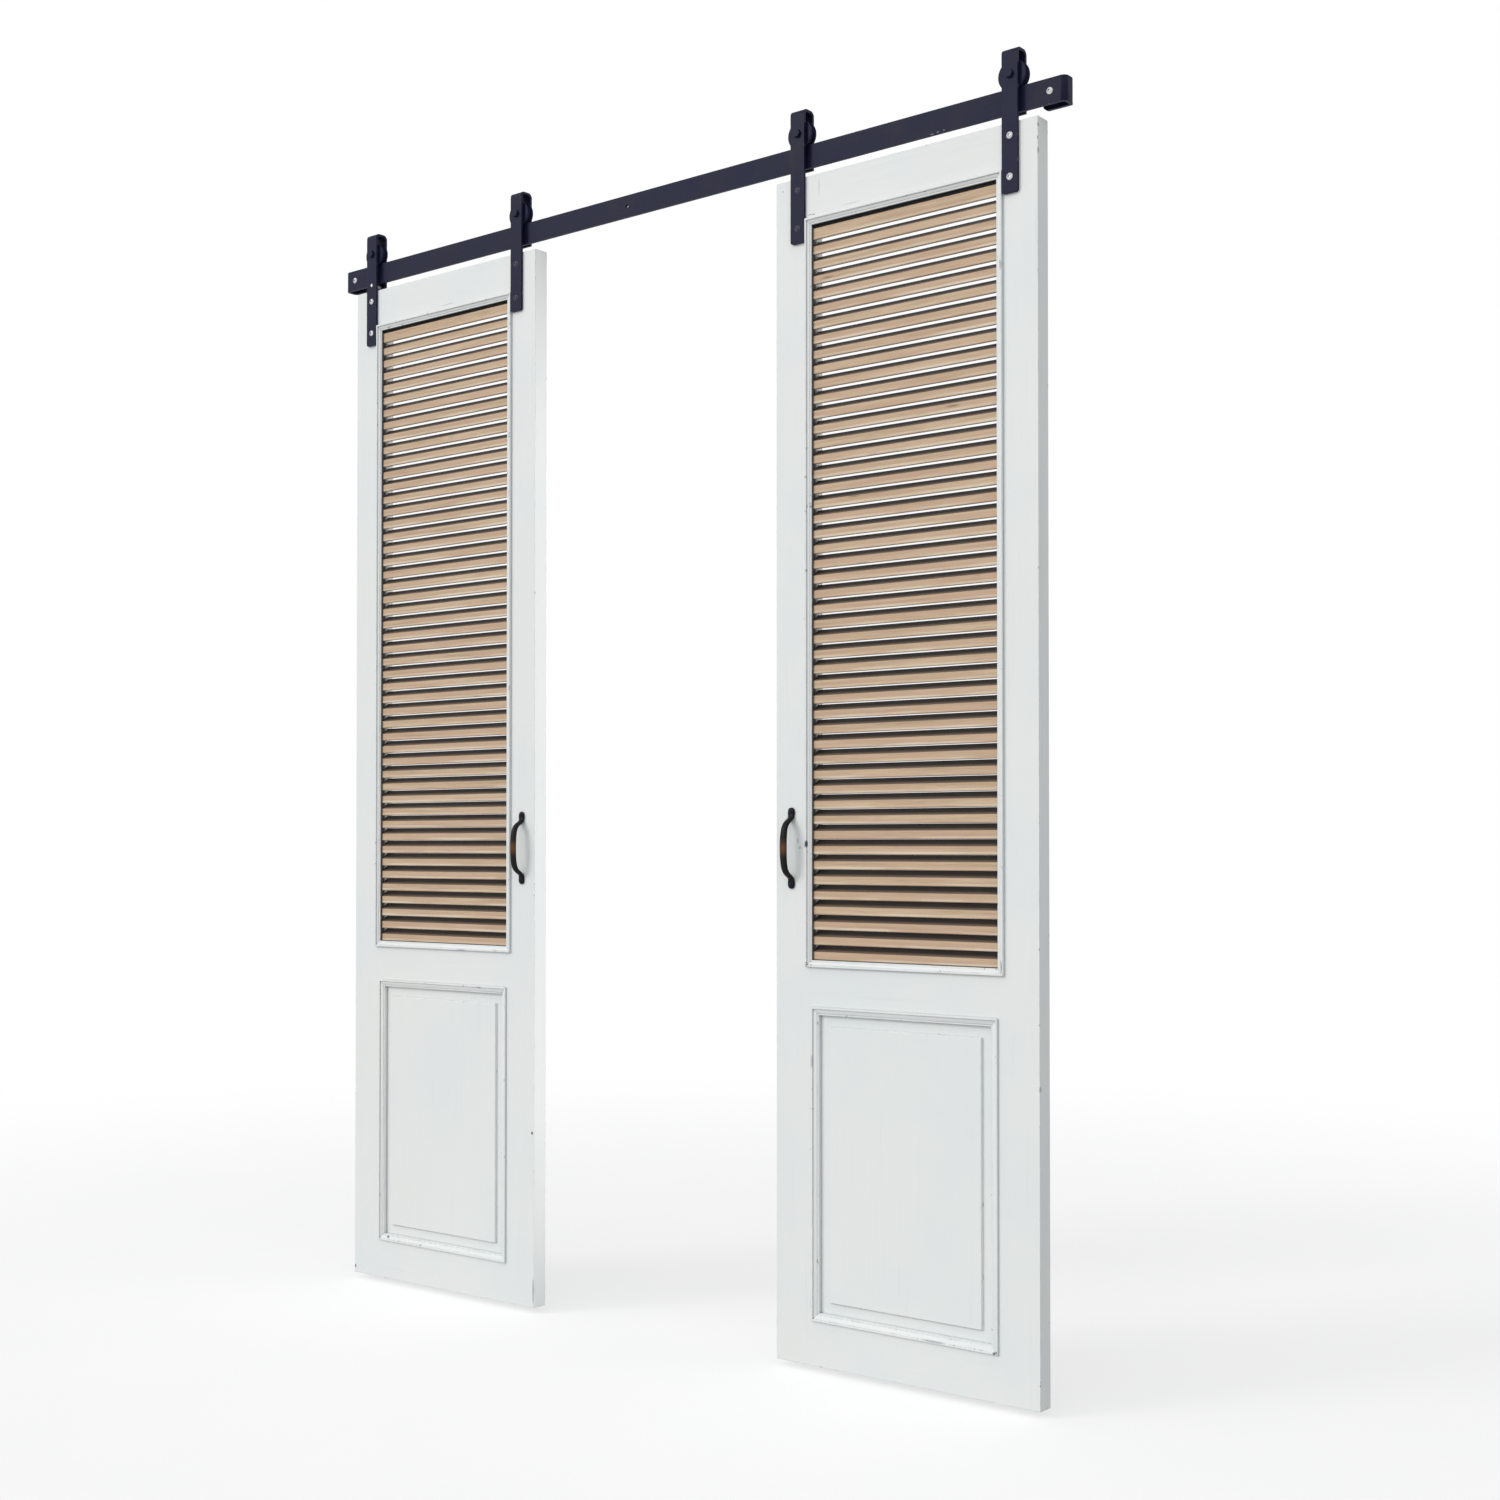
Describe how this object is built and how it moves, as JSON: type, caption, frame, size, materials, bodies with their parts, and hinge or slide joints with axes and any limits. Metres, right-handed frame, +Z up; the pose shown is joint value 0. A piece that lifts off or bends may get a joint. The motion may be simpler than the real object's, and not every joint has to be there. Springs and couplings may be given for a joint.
{
  "type": "double sliding door",
  "caption": "White louvred double sliding door with raised lower panels, hung on strap hangers and grooved rollers from a flat-bar wall track, with a bow handle on each leaf.",
  "frame": {"origin": "on the wall plane, midway between the two wall screws of the track", "axes": "+X along the track to the right as seen from the room, +Y into the wall, +Z up"},
  "size_m": [1.774, 0.112, 2.2223],
  "materials": {
    "painted_wood": "worn matt white paint",
    "slat_wood": "bare light wood",
    "black_iron": "satin black paint",
    "handle_iron": "black with a rubbed bronze middle",
    "zinc_steel": "bright zinc"
  },
  "bodies": {
    "track": {"track_rail": "black_iron", "wall_screws": "zinc_steel"},
    "left_leaf": {"left_outer_stile": "painted_wood", "left_inner_stile": "painted_wood", "left_top_rail": "painted_wood", "left_lock_rail": "painted_wood", "left_bottom_rail": "painted_wood", "left_slats": "slat_wood", "left_panel": "painted_wood", "left_louvre_bead_bottom": "painted_wood", "left_louvre_bead_outer": "painted_wood", "left_louvre_bead_top": "painted_wood", "left_louvre_bead_inner": "painted_wood", "left_panel_bead_bottom": "painted_wood", "left_panel_bead_outer": "painted_wood", "left_panel_bead_top": "painted_wood", "left_panel_bead_inner": "painted_wood", "left_handle": "handle_iron", "left_handle_screws": "black_iron", "left_strap_screws": "zinc_steel", "left_outer_hanger": "black_iron", "left_inner_hanger": "black_iron", "left_outer_axle": "black_iron", "left_inner_axle": "black_iron", "left_axle_nuts": "black_iron", "left_keeper_bolt": "zinc_steel"},
    "right_leaf": {"right_outer_stile": "painted_wood", "right_inner_stile": "painted_wood", "right_top_rail": "painted_wood", "right_lock_rail": "painted_wood", "right_bottom_rail": "painted_wood", "right_slats": "slat_wood", "right_panel": "painted_wood", "right_louvre_bead_bottom": "painted_wood", "right_louvre_bead_outer": "painted_wood", "right_louvre_bead_top": "painted_wood", "right_louvre_bead_inner": "painted_wood", "right_panel_bead_bottom": "painted_wood", "right_panel_bead_outer": "painted_wood", "right_panel_bead_top": "painted_wood", "right_panel_bead_inner": "painted_wood", "right_handle": "handle_iron", "right_handle_screws": "black_iron", "right_strap_screws": "zinc_steel", "right_outer_hanger": "black_iron", "right_inner_hanger": "black_iron", "right_outer_axle": "black_iron", "right_inner_axle": "black_iron", "right_axle_nuts": "black_iron"},
    "left_outer_wheel": {"left_outer_roller": "black_iron", "left_outer_bush": "zinc_steel"},
    "left_inner_wheel": {"left_inner_roller": "black_iron", "left_inner_bush": "zinc_steel"},
    "right_outer_wheel": {"right_outer_roller": "black_iron", "right_outer_bush": "zinc_steel"},
    "right_inner_wheel": {"right_inner_roller": "black_iron", "right_inner_bush": "zinc_steel"}
  },
  "joints": [
    {"name": "left_slide", "type": "slide", "parent": "track", "child": "left_leaf", "axis": [1, 0, 0], "range_m": [-0.0495, 0.3015]},
    {"name": "right_slide", "type": "slide", "parent": "track", "child": "right_leaf", "axis": [-1, 0, 0], "range_m": [-0.0495, 0.3015]},
    {"name": "left_outer_spin", "type": "hinge", "parent": "left_leaf", "child": "left_outer_wheel", "pos_m": [-0.789, -0.027, 0.0413], "axis": [0, 1, 0], "continuous": true},
    {"name": "left_inner_spin", "type": "hinge", "parent": "left_leaf", "child": "left_inner_wheel", "pos_m": [-0.353, -0.027, 0.0413], "axis": [0, 1, 0], "continuous": true},
    {"name": "right_outer_spin", "type": "hinge", "parent": "right_leaf", "child": "right_outer_wheel", "pos_m": [0.789, -0.027, 0.0413], "axis": [0, 1, 0], "continuous": true},
    {"name": "right_inner_spin", "type": "hinge", "parent": "right_leaf", "child": "right_inner_wheel", "pos_m": [0.353, -0.027, 0.0413], "axis": [0, 1, 0], "continuous": true}
  ],
  "couplings": [
    {"joint": "left_outer_spin", "follows": "left_slide", "rad_per_m": 50},
    {"joint": "left_inner_spin", "follows": "left_slide", "rad_per_m": 50},
    {"joint": "right_outer_spin", "follows": "right_slide", "rad_per_m": -50},
    {"joint": "right_inner_spin", "follows": "right_slide", "rad_per_m": -50}
  ]
}
